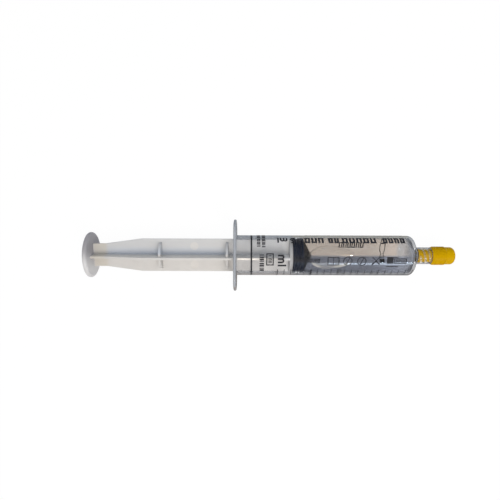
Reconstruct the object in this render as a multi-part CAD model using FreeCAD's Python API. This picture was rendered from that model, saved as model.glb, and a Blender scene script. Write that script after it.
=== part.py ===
import FreeCAD, Part
import math
import os

# The syringe lies along X with its tip towards +X, and Z is up.
# Stations along the axis are in mm, with 0 just ahead of the finger flange.

# Barrel
BORE_R = 9.525
WALL = 1.125
BARREL_R = BORE_R + WALL
SHOULDER_X = 90.6
SHOULDER_ROUND = 3.0
SHOULDER_ANGLE = 65.0
BORE_PAST = 0.75
BORE_END = SHOULDER_X + BORE_PAST
INNER_CONE_ANGLE = 62.0
MOUTH_CHAMFER = 0.4
BEAD_X = 2.2
BEAD_HALF = 0.5
BEAD_H = 0.18
ROOT_ROUND = 0.8

# Finger flange, flat sides up and down
FLANGE_X = -0.35
FLANGE_T = 1.4
FLANGE_REAR = FLANGE_X - FLANGE_T
FLANGE_WING = 8.4
FLANGE_EDGE = 1.7
FLANGE_SPAN = 2.0 * (BARREL_R + FLANGE_WING)
FLANGE_H = 2.0 * (BARREL_R + FLANGE_EDGE)
FLANGE_CORNER = 5.0
FLANGE_RIM = 0.6

# Lock collar and nozzle
COLLAR_R = 4.5
COLLAR_LEN = 8.1
COLLAR_WALL = 0.5
COLLAR_BORE_R = COLLAR_R - COLLAR_WALL
COLLAR_CHAMFER = 0.35
COLLAR_FLOOR = 0.75
NOZZLE_TIP_R = 1.97
NOZZLE_SLOPE = 0.03
NOZZLE_PROUD = 2.2
CHANNEL_R = 0.9

# Stopper, set back from the end of the bore by the length of the fill
FILL_LEN = 56.4
STOPPER_LEN = 5.7
STOPPER_CLEAR = 0.035
STOPPER_SEAT = 0.02
STOPPER_RIB_R = BORE_R - STOPPER_CLEAR
STOPPER_RIB_W = 1.5
STOPPER_GROOVE = 0.6
STOPPER_CONE_EDGE = 0.25
STOPPER_CONE_ANGLE = 62.0
CLIP_CLEAR = 0.15
CLIP_END_CLEAR = 0.1
STOPPER_FRONT = BORE_END - FILL_LEN
STOPPER_X = STOPPER_FRONT - STOPPER_LEN

# Plunger rod, its stations measured back from the plate behind the stopper
DISC_EDGE = 0.25
DISC_R = FLANGE_H / 2.0 - DISC_EDGE
DISC_T = 2.15
DISC_RIM = 0.75
DISC_FRONT_RIM = 1.3
ROD_LEN = 108.38
RIB_T = 1.1
RIB_CLEAR = 0.675
RIB_R = BORE_R - RIB_CLEAR
RIB_NARROW_R = 6.15
RIB_STRAIGHT = 9.0
RIB_TAPER = 19.0
WEB_R = 7.15
WEB_T = 1.2
WEB_BACK = (34.48, 69.78)
PLATE_X = STOPPER_X - STOPPER_SEAT
PLATE_T = 1.65
ROD_REAR = PLATE_X - ROD_LEN
TAPER_START = ROD_REAR + RIB_STRAIGHT
TAPER_END = TAPER_START + RIB_TAPER
WEB_X = [PLATE_X - back for back in WEB_BACK]
NECK_R = 3.0
NECK_LEN = 2.0
HEAD_R = 4.7
HEAD_LEN = 2.2
HEAD_CHAMFER = 0.8
PIN_MARK_X = PLATE_X - 52.08
PIN_MARK_Y = 5.0
PIN_MARK_R = 2.2
PIN_MARK_DEPTH = 0.12
ROD_TURN = 14.0

# Tip cap
CAP_SEAT = 0.02
CAP_REAR_R = COLLAR_R - 0.04
CAP_SKIRT_R = COLLAR_R + 0.45
CAP_CHAMFER_LEN = 1.07
CAP_SKIRT_LEN = 6.85
CAP_STEP_LEN = 0.8
CAP_END_R = CAP_SKIRT_R - 0.32
CAP_LEN = 12.4
CAP_END_ROUND = 2.2
CAP_GRIPS = 36
CAP_GRIP_DEPTH = 0.12
CAP_GRIP_W = 0.34
STEM_R = COLLAR_BORE_R - 0.6
STEM_FLOOR_CLEAR = 0.2
STEM_CONE_CLEAR = 0.03
STEM_END_CLEAR = 0.4
LUG_CLEAR = 0.35
LUG_W = 1.2
LUG_ANGLE = 100.0

# Fill and the air bubble at its top
FILL_WALL = 0.02
FILL_STOPPER = 0.05
BUBBLE_X = STOPPER_FRONT + 14.4
BUBBLE_LEN = 24.1
BUBBLE_HALF_W = 6.05
BUBBLE_Y = -0.9
BUBBLE_DEPTH = 1.7
BUBBLE_ROUND = 1.6

# Print on the barrel
INK_LIFT = 0.01
INK_T = 0.04
INK_R = BARREL_R + INK_LIFT
RING_X = 7.57
RING_W = 0.85
ML_STEP = 1000.0 / (math.pi * BORE_R * BORE_R)
ML_COUNT = min(20, int((BORE_END - 2.0 * RING_X) / ML_STEP))
FILL_ML = 15
TICK_W = 0.32
TICK_LONG_W = 0.42
TICK_BOLD_W = 0.9
TICK_FROM = 43.0
TICK_TO = 78.0
TICK_LONG_TO = 96.0
NUMERAL_PHI = 108.0
NUMERAL_H = 3.0
NUMERAL_STROKE = 0.42
NUMERAL_PITCH = 0.78
LETTER_X = 21.2
LETTER_H = 4.4
LETTER_STROKE = 0.88
LINE_NUMERAL_X = 33.3
LINE_UNIT_X = 26.2
LINE_H = 3.9
LINE_STROKE = 0.85
BLOCK_STROKE = 1.08
THIN = 0.4
PRINT = BORE_END / 91.35

# Derived stations
SHOULDER_RAD = math.radians(SHOULDER_ANGLE)
INNER_CONE_RAD = math.radians(INNER_CONE_ANGLE)
STOPPER_CONE_RAD = math.radians(STOPPER_CONE_ANGLE)
SHOULDER_X1 = SHOULDER_X + SHOULDER_ROUND * math.sin(SHOULDER_RAD)
SHOULDER_R1 = BARREL_R - SHOULDER_ROUND * (1.0 - math.cos(SHOULDER_RAD))
COLLAR_X = SHOULDER_X1 + (SHOULDER_R1 - COLLAR_R) / math.tan(SHOULDER_RAD)
COLLAR_END = COLLAR_X + COLLAR_LEN
FLOOR_X = COLLAR_X + COLLAR_FLOOR
NOZZLE_END = COLLAR_END + NOZZLE_PROUD
INNER_CONE_END = BORE_END + (BORE_R - CHANNEL_R) / math.tan(INNER_CONE_RAD)
STOPPER_CONE_R = STOPPER_RIB_R - STOPPER_CONE_EDGE
STOPPER_APEX = STOPPER_FRONT + STOPPER_CONE_R / math.tan(STOPPER_CONE_RAD)
HEAD_X = PLATE_X + NECK_LEN
CAP_X = COLLAR_END + CAP_SEAT
CAP_FRONT = CAP_X + CAP_LEN
MID_X = (ROD_REAR + CAP_FRONT) / 2.0
AXIS_Z = FLANGE_H / 2.0

ORIGIN = FreeCAD.Vector(0, 0, 0)
AXIS = FreeCAD.Vector(1, 0, 0)


def nozzle_r(x):
    return NOZZLE_TIP_R + NOZZLE_SLOPE * (NOZZLE_END - x)


def point(x, r):
    return FreeCAD.Vector(x, 0, r)


def section(steps):
    """Closed outline from (x, r) corners; a pair of points is an arc through the first."""
    edges = []
    first = point(*steps[0])
    here = first
    for step in steps[1:]:
        if isinstance(step[0], tuple):
            end = point(*step[1])
            edges.append(Part.Arc(here, point(*step[0]), end).toShape())
        else:
            end = point(*step)
            edges.append(Part.makeLine(here, end))
        here = end
    if (here - first).Length > 1e-6:
        edges.append(Part.makeLine(here, first))
    return Part.Face(Part.Wire(edges))


def turned(steps, angle=360):
    return section(steps).revolve(ORIGIN, AXIS, angle)


def disc(x, thickness, radius):
    return Part.makeCylinder(radius, thickness, point(x, 0), AXIS)


def moved(shape):
    shape.translate(FreeCAD.Vector(-MID_X, 0, AXIS_Z))
    return shape


def flange_plate():
    radius = FLANGE_SPAN / 2.0
    plate = disc(FLANGE_REAR, FLANGE_T, radius)
    corner = FreeCAD.Vector(FLANGE_REAR, -radius, -FLANGE_H / 2.0)
    slab = Part.makeBox(FLANGE_T, FLANGE_SPAN, FLANGE_H, corner)
    plate = plate.common(slab)
    upright = [e for e in plate.Edges if abs(e.tangentAt(e.FirstParameter).x) > 0.99]
    upright = [e for e in upright if abs(e.Vertexes[0].Z) > FLANGE_H / 2.0 - 0.01]
    plate = plate.makeFillet(FLANGE_CORNER, upright)
    rim = [e for e in plate.Edges if abs(e.tangentAt(e.FirstParameter).x) < 0.01]
    return plate.makeFillet(FLANGE_RIM, rim)


def barrel():
    half = SHOULDER_RAD / 2.0
    mid_shoulder = (
        SHOULDER_X + SHOULDER_ROUND * math.sin(half),
        BARREL_R - SHOULDER_ROUND * (1.0 - math.cos(half)),
    )
    root = ROOT_ROUND * (1.0 - math.sqrt(0.5))
    shell = turned(
        [
            (FLANGE_REAR, BORE_R + MOUTH_CHAMFER),
            (FLANGE_REAR + 2.0 * MOUTH_CHAMFER, BORE_R),
            (BEAD_X - BEAD_HALF, BORE_R),
            ((BEAD_X, BORE_R - BEAD_H), (BEAD_X + BEAD_HALF, BORE_R)),
            (BORE_END, BORE_R),
            (INNER_CONE_END, CHANNEL_R),
            (NOZZLE_END, CHANNEL_R),
            (NOZZLE_END, NOZZLE_TIP_R),
            (FLOOR_X, nozzle_r(FLOOR_X)),
            (FLOOR_X, COLLAR_BORE_R),
            (COLLAR_END, COLLAR_BORE_R),
            (COLLAR_END, COLLAR_R - COLLAR_CHAMFER),
            (COLLAR_END - COLLAR_CHAMFER, COLLAR_R),
            (COLLAR_X, COLLAR_R),
            (SHOULDER_X1, SHOULDER_R1),
            (mid_shoulder, (SHOULDER_X, BARREL_R)),
            (FLANGE_X + ROOT_ROUND, BARREL_R),
            ((FLANGE_X + root, BARREL_R + root), (FLANGE_X, BARREL_R + ROOT_ROUND)),
            (FLANGE_REAR, BARREL_R + ROOT_ROUND),
        ]
    )
    plate = flange_plate().cut(disc(FLANGE_REAR - 1, FLANGE_T + 2, BARREL_R))
    return shell.fuse(plate).removeSplitter()


def thumb_disc():
    x0 = ROD_REAR
    x1 = ROD_REAR + DISC_T
    tilt = DISC_RIM * (1.0 - math.sqrt(0.5))
    front_tilt = DISC_FRONT_RIM * (1.0 - math.sqrt(0.5))
    return turned(
        [
            (x0, 0),
            (x0, DISC_R - DISC_RIM),
            ((x0 + tilt, DISC_R - tilt), (x0 + DISC_RIM, DISC_R)),
            (x1 - DISC_FRONT_RIM, DISC_R),
            ((x1 - front_tilt, DISC_R - front_tilt), (x1, DISC_R - DISC_FRONT_RIM)),
            (x1, 0),
        ]
    )


def rib_plate():
    x0 = ROD_REAR + DISC_T / 2.0
    x1 = PLATE_X - PLATE_T / 2.0
    upper = [(x0, RIB_NARROW_R), (TAPER_START, RIB_NARROW_R), (TAPER_END, RIB_R), (x1, RIB_R)]
    lower = [(x, -r) for x, r in reversed(upper)]
    face = section(upper + lower)
    plate = face.extrude(FreeCAD.Vector(0, RIB_T, 0))
    plate.translate(FreeCAD.Vector(0, -RIB_T / 2.0, 0))
    return plate


def rod_head():
    return turned(
        [
            (PLATE_X - PLATE_T, 0),
            (PLATE_X - PLATE_T, RIB_R),
            (PLATE_X, RIB_R),
            (PLATE_X, NECK_R),
            (HEAD_X, NECK_R),
            (HEAD_X, HEAD_R),
            (HEAD_X + HEAD_LEN - HEAD_CHAMFER, HEAD_R),
            (HEAD_X + HEAD_LEN, HEAD_R - HEAD_CHAMFER),
            (HEAD_X + HEAD_LEN, 0),
        ]
    )


def plunger_rod():
    upright = rib_plate()
    level = rib_plate()
    level.rotate(ORIGIN, AXIS, 90)
    pieces = [upright, level, rod_head()]
    for x in WEB_X:
        pieces.append(disc(x - WEB_T / 2.0, WEB_T, WEB_R))
    rod = thumb_disc().fuse(pieces).removeSplitter()
    marks = []
    for side in (-1, 1):
        base = FreeCAD.Vector(PIN_MARK_X, side * PIN_MARK_Y, RIB_T / 2.0 - PIN_MARK_DEPTH)
        marks.append(Part.makeCylinder(PIN_MARK_R, 1.0, base))
    rod = rod.cut(marks)
    rod.rotate(ORIGIN, AXIS, ROD_TURN)
    return rod


def plunger_stopper():
    rear = STOPPER_X
    front = STOPPER_FRONT
    rib = STOPPER_RIB_R
    groove = rib - STOPPER_GROOVE
    lip = HEAD_X - CLIP_END_CLEAR
    roof = HEAD_X + HEAD_LEN + CLIP_END_CLEAR
    return turned(
        [
            (rear, NECK_R + CLIP_CLEAR),
            (lip, NECK_R + CLIP_CLEAR),
            (lip, HEAD_R + CLIP_CLEAR),
            (roof - HEAD_CHAMFER, HEAD_R + CLIP_CLEAR),
            (roof, HEAD_R + CLIP_CLEAR - HEAD_CHAMFER),
            (roof, 0),
            (STOPPER_APEX, 0),
            (front, STOPPER_CONE_R),
            (front - 0.2, rib),
            (front - STOPPER_RIB_W, rib),
            (front - STOPPER_RIB_W - 0.5, groove),
            (rear + STOPPER_RIB_W + 0.6, groove),
            (rear + STOPPER_RIB_W + 0.1, rib),
            (rear + 0.25, rib),
            (rear, rib - 0.25),
        ]
    )


def cap_body():
    x0 = CAP_X
    x1 = CAP_FRONT
    step0 = x0 + CAP_SKIRT_LEN
    step1 = step0 + CAP_STEP_LEN
    tilt = CAP_END_ROUND * (1.0 - math.sqrt(0.5))
    stem0 = FLOOR_X + STEM_FLOOR_CLEAR
    seat = NOZZLE_END + STEM_END_CLEAR
    return turned(
        [
            (stem0, nozzle_r(stem0) + STEM_CONE_CLEAR),
            (seat, nozzle_r(seat) + STEM_CONE_CLEAR),
            (seat, 0),
            (x1, 0),
            (x1, CAP_END_R - CAP_END_ROUND),
            ((x1 - tilt, CAP_END_R - tilt), (x1 - CAP_END_ROUND, CAP_END_R)),
            (step1, CAP_END_R),
            (step0, CAP_SKIRT_R),
            (x0 + CAP_CHAMFER_LEN, CAP_SKIRT_R),
            (x0, CAP_REAR_R),
            (x0, STEM_R),
            (stem0, STEM_R),
        ]
    )


def cap_lug(start):
    x0 = FLOOR_X + STEM_FLOOR_CLEAR
    top = COLLAR_BORE_R - LUG_CLEAR
    lug = turned(
        [(x0, STEM_R - 0.3), (x0, top), (x0 + LUG_W, top), (x0 + LUG_W + 0.3, STEM_R - 0.3)],
        LUG_ANGLE,
    )
    lug.rotate(ORIGIN, AXIS, start)
    return lug


def cap_grip(angle):
    x0 = CAP_X + CAP_CHAMFER_LEN
    length = CAP_SKIRT_LEN - CAP_CHAMFER_LEN + 0.1
    base = FreeCAD.Vector(x0, -CAP_GRIP_W / 2.0, CAP_SKIRT_R - CAP_GRIP_DEPTH)
    groove = Part.makeBox(length, CAP_GRIP_W, 1.0, base)
    groove.rotate(ORIGIN, AXIS, angle)
    return groove


def tip_cap():
    lugs = [cap_lug(start) for start in (40.0, 220.0)]
    body = cap_body().fuse(lugs).removeSplitter()
    grips = [cap_grip(360.0 * i / CAP_GRIPS) for i in range(CAP_GRIPS)]
    return body.cut(grips)


def bubble():
    z = math.sqrt((BORE_R - FILL_WALL) ** 2 - BUBBLE_HALF_W ** 2) - BUBBLE_DEPTH
    straight = BUBBLE_LEN / 2.0 - BUBBLE_HALF_W
    height = BORE_R
    base = FreeCAD.Vector(-straight, -BUBBLE_HALF_W, z)
    shape = Part.makeBox(2.0 * straight, 2.0 * BUBBLE_HALF_W, height, base)
    ends = []
    for side in (-1, 1):
        centre = FreeCAD.Vector(side * straight, 0, z)
        ends.append(Part.makeCylinder(BUBBLE_HALF_W, height, centre))
    shape = shape.fuse(ends).removeSplitter()
    low = [e for e in shape.Edges if e.BoundBox.ZMax < z + 0.01]
    shape = shape.makeFillet(BUBBLE_ROUND, low)
    shape.translate(FreeCAD.Vector(BUBBLE_X, BUBBLE_Y, 0))
    return shape


def fill():
    rim = BORE_R - FILL_WALL
    back = FILL_WALL / math.tan(INNER_CONE_RAD) - 1.5 * FILL_WALL
    gap = FILL_STOPPER / math.sin(STOPPER_CONE_RAD)
    body = turned(
        [
            (STOPPER_APEX + gap, 0),
            (STOPPER_FRONT + gap, STOPPER_CONE_R),
            (STOPPER_FRONT + gap, rim),
            (BORE_END + back, rim),
            (INNER_CONE_END + back, CHANNEL_R - FILL_WALL),
            (NOZZLE_END - 0.1, CHANNEL_R - FILL_WALL),
            (NOZZLE_END - 0.1, 0),
        ]
    )
    return body.cut(bubble())


def skin_r(x):
    """Radius of the barrel's outside, straight and then round the shoulder."""
    past = max(0.0, x - SHOULDER_X)
    return BARREL_R - SHOULDER_ROUND + math.sqrt(SHOULDER_ROUND ** 2 - past ** 2)


def patch(x0, x1, phi0, phi1):
    """Thin inked patch between two stations and two angles from the top."""
    low0 = skin_r(x0) + INK_LIFT
    low1 = skin_r(x1) + INK_LIFT
    solid = turned([(x0, low0), (x1, low1), (x1, low1 + INK_T), (x0, low0 + INK_T)], phi1 - phi0)
    solid.rotate(ORIGIN, AXIS, phi0)
    return solid


def ink_ring():
    top = INK_R + INK_T
    x0 = RING_X - RING_W / 2.0
    x1 = RING_X + RING_W / 2.0
    return turned([(x0, INK_R), (x1, INK_R), (x1, top), (x0, top)])


def ink_scale():
    ticks = []
    for ml in range(ML_COUNT + 1):
        x = BORE_END - ml * ML_STEP
        main = ml % 5 == 0
        width = TICK_LONG_W if main else TICK_W
        if ml == FILL_ML:
            width = TICK_BOLD_W
        far = TICK_LONG_TO if main else TICK_TO
        ticks.append(patch(x - width / 2.0, x + width / 2.0, TICK_FROM, far))
    return Part.makeCompound(ticks)


def arc_points(u, v, ru, rv, start, end, count=10):
    """Points of an ellipse arc, angles in degrees from the reading direction."""
    points = []
    for i in range(count + 1):
        a = math.radians(start + (end - start) * i / count)
        points.append((u + ru * math.cos(a), v + rv * math.sin(a)))
    return points


def glyph_lines(name):
    """Centre lines of a character in a box 1 high, as (points, closed) pairs."""
    if name == "0":
        return [(arc_points(0.3, 0.5, 0.26, 0.45, 0, 330, 11), True)]
    if name == "1":
        return [([(0.1, 0.74), (0.36, 0.95), (0.36, 0.05)], False)]
    if name == "2":
        bow = arc_points(0.3, 0.7, 0.24, 0.25, 165, -35, 8)
        return [(bow + [(0.06, 0.06), (0.56, 0.06)], False)]
    if name == "5":
        bow = arc_points(0.26, 0.33, 0.29, 0.28, 125, -145, 10)
        return [([(0.52, 0.94), (0.12, 0.94), (0.1, 0.58)] + bow[1:], False)]
    if name == "m":
        first = arc_points(0.26, 0.46, 0.2, 0.2, 180, 0, 8)
        second = arc_points(0.66, 0.46, 0.2, 0.2, 180, 0, 8)
        stem = [(0.06, 0.0), (0.06, 0.68)]
        return [
            (stem, False),
            ([(0.06, 0.3)] + first + [(0.46, 0.0)], False),
            ([(0.46, 0.3)] + second + [(0.86, 0.0)], False),
        ]
    return [([(0.1, 0.0), (0.1, 1.0)], False)]


def thick_line(points, closed, width):
    """Outline polygons of a line with a width: one, or two for a closed line."""
    left = []
    right = []
    count = len(points)
    for i in range(count):
        before = points[i - 1] if i or closed else points[i]
        after = points[(i + 1) % count] if i < count - 1 or closed else points[i]
        into = (points[i][0] - before[0], points[i][1] - before[1])
        away = (after[0] - points[i][0], after[1] - points[i][1])
        if into == (0, 0):
            into = away
        if away == (0, 0):
            away = into
        len_in = math.hypot(*into)
        len_out = math.hypot(*away)
        n_in = (-into[1] / len_in, into[0] / len_in)
        n_out = (-away[1] / len_out, away[0] / len_out)
        nu = n_in[0] + n_out[0]
        nv = n_in[1] + n_out[1]
        size = math.hypot(nu, nv)
        reach = min(width / size, 1.2 * width)
        left.append((points[i][0] + reach * nu / size, points[i][1] + reach * nv / size))
        right.append((points[i][0] - reach * nu / size, points[i][1] - reach * nv / size))
    if closed:
        return left, right
    return left + right[::-1], None


def prism(polygon, x, scale, lengthwise):
    corners = []
    for u, v in polygon:
        if lengthwise:
            corners.append(FreeCAD.Vector(x - u * scale, -v * scale, BORE_R - 2.5))
        else:
            corners.append(FreeCAD.Vector(x + v * scale, -u * scale, BORE_R - 2.5))
    wire = Part.makePolygon(corners + [corners[0]])
    return Part.Face(wire).extrude(FreeCAD.Vector(0, 0, WALL + 4.0))


def decal(lines, width, x, phi, scale, shift=0.0, lengthwise=False):
    """Thick lines wrapped on the barrel from station x and angle phi.

    They read along the angle with their tops towards the tip, or lengthwise
    towards the flange with their tops along the angle.
    """
    top = INK_R + INK_T
    band = turned([(x - 14, INK_R), (x + 14, INK_R), (x + 14, top), (x - 14, top)])
    solids = []
    for points, closed in lines:
        points = [(u + shift / scale, v) for u, v in points]
        outer, inner = thick_line(points, closed, width / scale)
        block = prism(outer, x, scale, lengthwise)
        if inner:
            other = prism(inner, x, scale, lengthwise)
            if other.Volume > block.Volume:
                block, other = other, block
            block = block.cut(other)
        solids.append(block)
    body = solids[0]
    if len(solids) > 1:
        body = body.fuse(solids[1:]).removeSplitter()
    body = body.common(band)
    body.rotate(ORIGIN, AXIS, phi)
    return body.Solids


def word(text, x, phi, height, stroke, lengthwise=False):
    solids = []
    shift = 0.0
    for letter in text:
        lines = glyph_lines(letter)
        solids += decal(lines, stroke, x, phi, height, shift, lengthwise)
        shift += height * (1.12 if letter == "m" else NUMERAL_PITCH)
    return solids


def ink_numerals():
    solids = []
    for ml in range(5, ML_COUNT + 1, 5):
        x = BORE_END - ml * ML_STEP - NUMERAL_H / 2.0
        solids += word(str(ml), x, NUMERAL_PHI, NUMERAL_H, NUMERAL_STROKE)
    solids += word("ml", LETTER_X, -1.0, LETTER_H, LETTER_STROKE)
    solids += word("15", LINE_NUMERAL_X, -59.0, LINE_H, LINE_STROKE, True)
    solids += word("ml", LINE_UNIT_X, -59.0, LINE_H, LINE_STROKE, True)
    return Part.makeCompound(solids)


def frame_lines(x0, x1, phi0, phi1, width):
    """Four patches round a plain box, for stations in the print's own scale."""
    x0 = x0 * PRINT
    x1 = x1 * PRINT
    turn = math.degrees(width / BARREL_R)
    return [
        patch(x0, x0 + width, phi0, phi1),
        patch(x1 - width, x1, phi0, phi1),
        patch(x0 + width, x1 - width, phi0, phi0 + turn),
        patch(x0 + width, x1 - width, phi1 - turn, phi1),
    ]


def blocks_along(x0, x1, phi0, phi1, count, width):
    """Plain blocks in the place of a lengthwise word: pairs of bars, joined at the ends."""
    solids = []
    pitch = (x1 - x0) * PRINT / (count - 0.18)
    turn = math.degrees(width / BARREL_R)
    for i in range(count):
        a = x0 * PRINT + i * pitch
        b = a + 0.82 * pitch
        solids.append(patch(a, a + width, phi0, phi1))
        solids.append(patch(b - width, b, phi0, phi1))
        if i % 3 != 1:
            solids.append(patch(a + width, b - width, phi0, phi0 + turn))
        if i % 3 != 2:
            solids.append(patch(a + width, b - width, phi1 - turn, phi1))
    return solids


def blocks_around(x0, x1, phi0, phi1, count, width):
    """Plain blocks in the place of a word that reads round the barrel."""
    solids = []
    low = x0 * PRINT
    high = x1 * PRINT
    pitch = (phi1 - phi0) / count
    turn = math.degrees(width / BARREL_R)
    for i in range(count):
        a = phi0 + i * pitch
        b = a + 0.74 * pitch
        solids.append(patch(low, high, a, a + turn))
        if i % 3:
            solids.append(patch(low, high, b - turn, b))
            solids.append(patch(high - width, high, a + turn, b - turn))
    return solids


def struck_circle(x, phi):
    ring = (arc_points(0, 0, 1, 1, 0, 340, 17), True)
    bar = ([(-0.9, 0.42), (0.9, -0.42)], False)
    return decal([ring, bar], THIN, x * PRINT, phi, 2.2)


def crossed_mark(x, phi):
    lines = [
        ([(-1.0, -0.9), (0.75, 0.9)], False),
        ([(-1.0, 0.9), (0.75, -0.9)], False),
        ([(1.0, -1.0), (-0.1, 0.2)], False),
        ([(1.0, 1.0), (-0.1, -0.2)], False),
    ]
    return decal(lines, THIN, x * PRINT, phi, 2.1)


def waisted_mark(x, phi):
    half = [(5.6, 1.35), (1.6, 1.35), (-0.4, 0.55), (-2.0, 1.35)]
    other = [(v, -w) for v, w in reversed(half)]
    solids = decal([(half + other, True)], THIN, x * PRINT, phi, 1.0)
    solids += frame_lines(x - 1.55, x + 1.55, phi + 33.0, phi + 64.0, THIN)
    solids.append(patch((x - 1.4) * PRINT, (x + 1.4) * PRINT, phi - 29.0, phi - 16.0))
    return solids


def booklet(x0, x1, phi0, phi1):
    middle = (x0 + x1) / 2.0 * PRINT
    turn = math.degrees(THIN / BARREL_R)
    spine = patch(middle - THIN / 2.0, middle + THIN / 2.0, phi0 + turn, phi1 - turn)
    return frame_lines(x0, x1, phi0, phi1, THIN) + [spine]


def boxed_mark(x0, x1, phi0, phi1):
    """Plain stepped box with a dark end and a line of small blocks."""
    split = x0 + 0.32 * (x1 - x0)
    foot = phi0 + 0.66 * (phi1 - phi0)
    solids = [
        patch(x0 * PRINT, split * PRINT, phi0, foot),
        patch(x0 * PRINT, (split + 2.6) * PRINT, phi1 - 2.6, phi1),
        patch(split * PRINT, (split + 2.6) * PRINT, phi0, phi0 + 2.2),
    ]
    solids += frame_lines(split + 0.3, x1, phi0 + 4.2, foot, 0.45)
    solids += blocks_along(split + 1.2, x1 - 0.9, phi0 + 8.6, foot - 4.0, 6, 0.26)
    return solids


def ink_label():
    solids = []
    solids += blocks_around(10.4, 12.2, -84.0, -24.0, 14, 0.3)
    solids += blocks_around(13.0, 14.8, -84.0, -22.0, 14, 0.3)
    solids += blocks_around(11.8, 14.1, -2.0, 51.0, 9, THIN)
    solids += frame_lines(15.2, 19.1, -5.8, 29.3, 0.6)
    solids += blocks_around(16.3, 18.0, 0.0, 24.0, 3, THIN)
    solids += blocks_along(35.3, 45.2, -59.0, -37.0, 3, BLOCK_STROKE)
    solids += blocks_along(47.6, 53.2, -59.0, -37.0, 2, BLOCK_STROKE)
    solids += blocks_along(54.8, 72.5, -59.0, -37.0, 5, BLOCK_STROKE)
    solids += blocks_along(75.9, 87.4, -59.0, -37.0, 4, BLOCK_STROKE)
    solids += blocks_along(36.0, 88.0, -89.0, -81.0, 26, 0.4)
    solids += blocks_along(29.2, 42.8, 9.5, 20.0, 10, THIN)
    solids += booklet(46.8, 52.8, 4.0, 28.0)
    solids += struck_circle(57.2, 16.0)
    solids += struck_circle(64.4, 16.0)
    solids += crossed_mark(71.7, 15.0)
    solids += boxed_mark(77.3, 87.4, 3.0, 33.0)
    solids += waisted_mark(80.9, 186.0)
    solids += blocks_along(56.4, 70.2, 203.0, 223.0, 6, 0.6)
    return Part.makeCompound(solids)


PIECES = {
    "barrel": barrel,
    "plunger_rod": plunger_rod,
    "plunger_stopper": plunger_stopper,
    "tip_cap": tip_cap,
    "fill": fill,
    "ink_ring": ink_ring,
    "ink_scale": ink_scale,
    "ink_numerals": ink_numerals,
    "ink_label": ink_label,
}

os.makedirs("parts", exist_ok=True)
for name, build in PIECES.items():
    shape = moved(build())
    shape.exportStep("parts/" + name + ".step")
    box = shape.BoundBox
    print(
        name,
        "solids",
        len(shape.Solids),
        "volume",
        round(shape.Volume, 2),
        "valid",
        shape.isValid(),
        [round(v, 3) for v in (box.XMin, box.XMax, box.YMin, box.YMax, box.ZMin, box.ZMax)],
    )
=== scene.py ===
import logging
import math
from dataclasses import dataclass
from enum import Enum
from typing import List, Optional, Sequence, Tuple, Union

import bmesh
import bpy
from mathutils import Matrix, Vector


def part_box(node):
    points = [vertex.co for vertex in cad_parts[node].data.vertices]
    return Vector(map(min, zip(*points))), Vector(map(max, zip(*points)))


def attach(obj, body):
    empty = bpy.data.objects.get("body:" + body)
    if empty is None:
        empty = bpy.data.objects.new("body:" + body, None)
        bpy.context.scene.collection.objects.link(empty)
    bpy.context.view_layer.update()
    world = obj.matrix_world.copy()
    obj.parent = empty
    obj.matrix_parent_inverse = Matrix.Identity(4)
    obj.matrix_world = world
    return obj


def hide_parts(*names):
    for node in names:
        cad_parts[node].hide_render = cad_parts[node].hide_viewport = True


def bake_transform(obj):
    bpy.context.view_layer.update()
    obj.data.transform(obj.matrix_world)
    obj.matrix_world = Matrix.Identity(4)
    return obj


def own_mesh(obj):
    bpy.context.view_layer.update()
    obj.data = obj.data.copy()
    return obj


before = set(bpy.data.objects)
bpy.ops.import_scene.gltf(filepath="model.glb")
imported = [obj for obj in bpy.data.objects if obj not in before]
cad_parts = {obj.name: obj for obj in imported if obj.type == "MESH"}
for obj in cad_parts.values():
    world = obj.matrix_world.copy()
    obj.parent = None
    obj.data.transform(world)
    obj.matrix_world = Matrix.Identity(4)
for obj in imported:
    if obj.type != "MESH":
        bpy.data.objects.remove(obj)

LOG = logging.getLogger("syringe")
MM = 0.001
PHOTO_PX = 500

Colour = Tuple[float, float, float]
Place = Tuple[float, float, float]
Span = Tuple[float, float]
Profile = Sequence[Span]
Socket = bpy.types.NodeSocket
Amount = Union[float, Socket]
Tone = Union[Colour, Socket]

WHITE: Colour = (1.0, 1.0, 1.0)


class Body(Enum):
    """The rigid bodies that the added pieces ride on."""

    BARREL = "barrel"
    PLUNGER = "plunger"


@dataclass(frozen=True)
class Layout:
    """Where the syringe lies: stations in mm run forward from just ahead of the flange."""

    rear_x: float
    axis_z: float
    rear_station: float = -1.75

    @classmethod
    def from_frame(cls) -> "Layout":
        """Reads the barrel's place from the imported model."""
        low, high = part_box("barrel")
        return cls(rear_x=low[0] / MM, axis_z=(low[2] + high[2]) / 2.0 / MM)

    def x(self, station: float) -> float:
        """Station in mm to the frame's X in metres."""
        return (self.rear_x - self.rear_station + station) * MM

    def point(self, station: float, y: float, up: float) -> Vector:
        """Point at a station, sideways and above the axis, all in mm, as metres in the frame."""
        return Vector((self.x(station), y * MM, (self.axis_z + up) * MM))

    def around(self, station: float, radius: float, turn: float) -> Vector:
        """Point on a circle about the axis, its turn in radians from straight up."""
        return self.point(station, -radius * math.sin(turn), radius * math.cos(turn))


def shade(colour: Colour, factor: float) -> Colour:
    """A colour made lighter or darker by a factor."""
    return tuple(min(1.0, c * factor) for c in colour)


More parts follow.
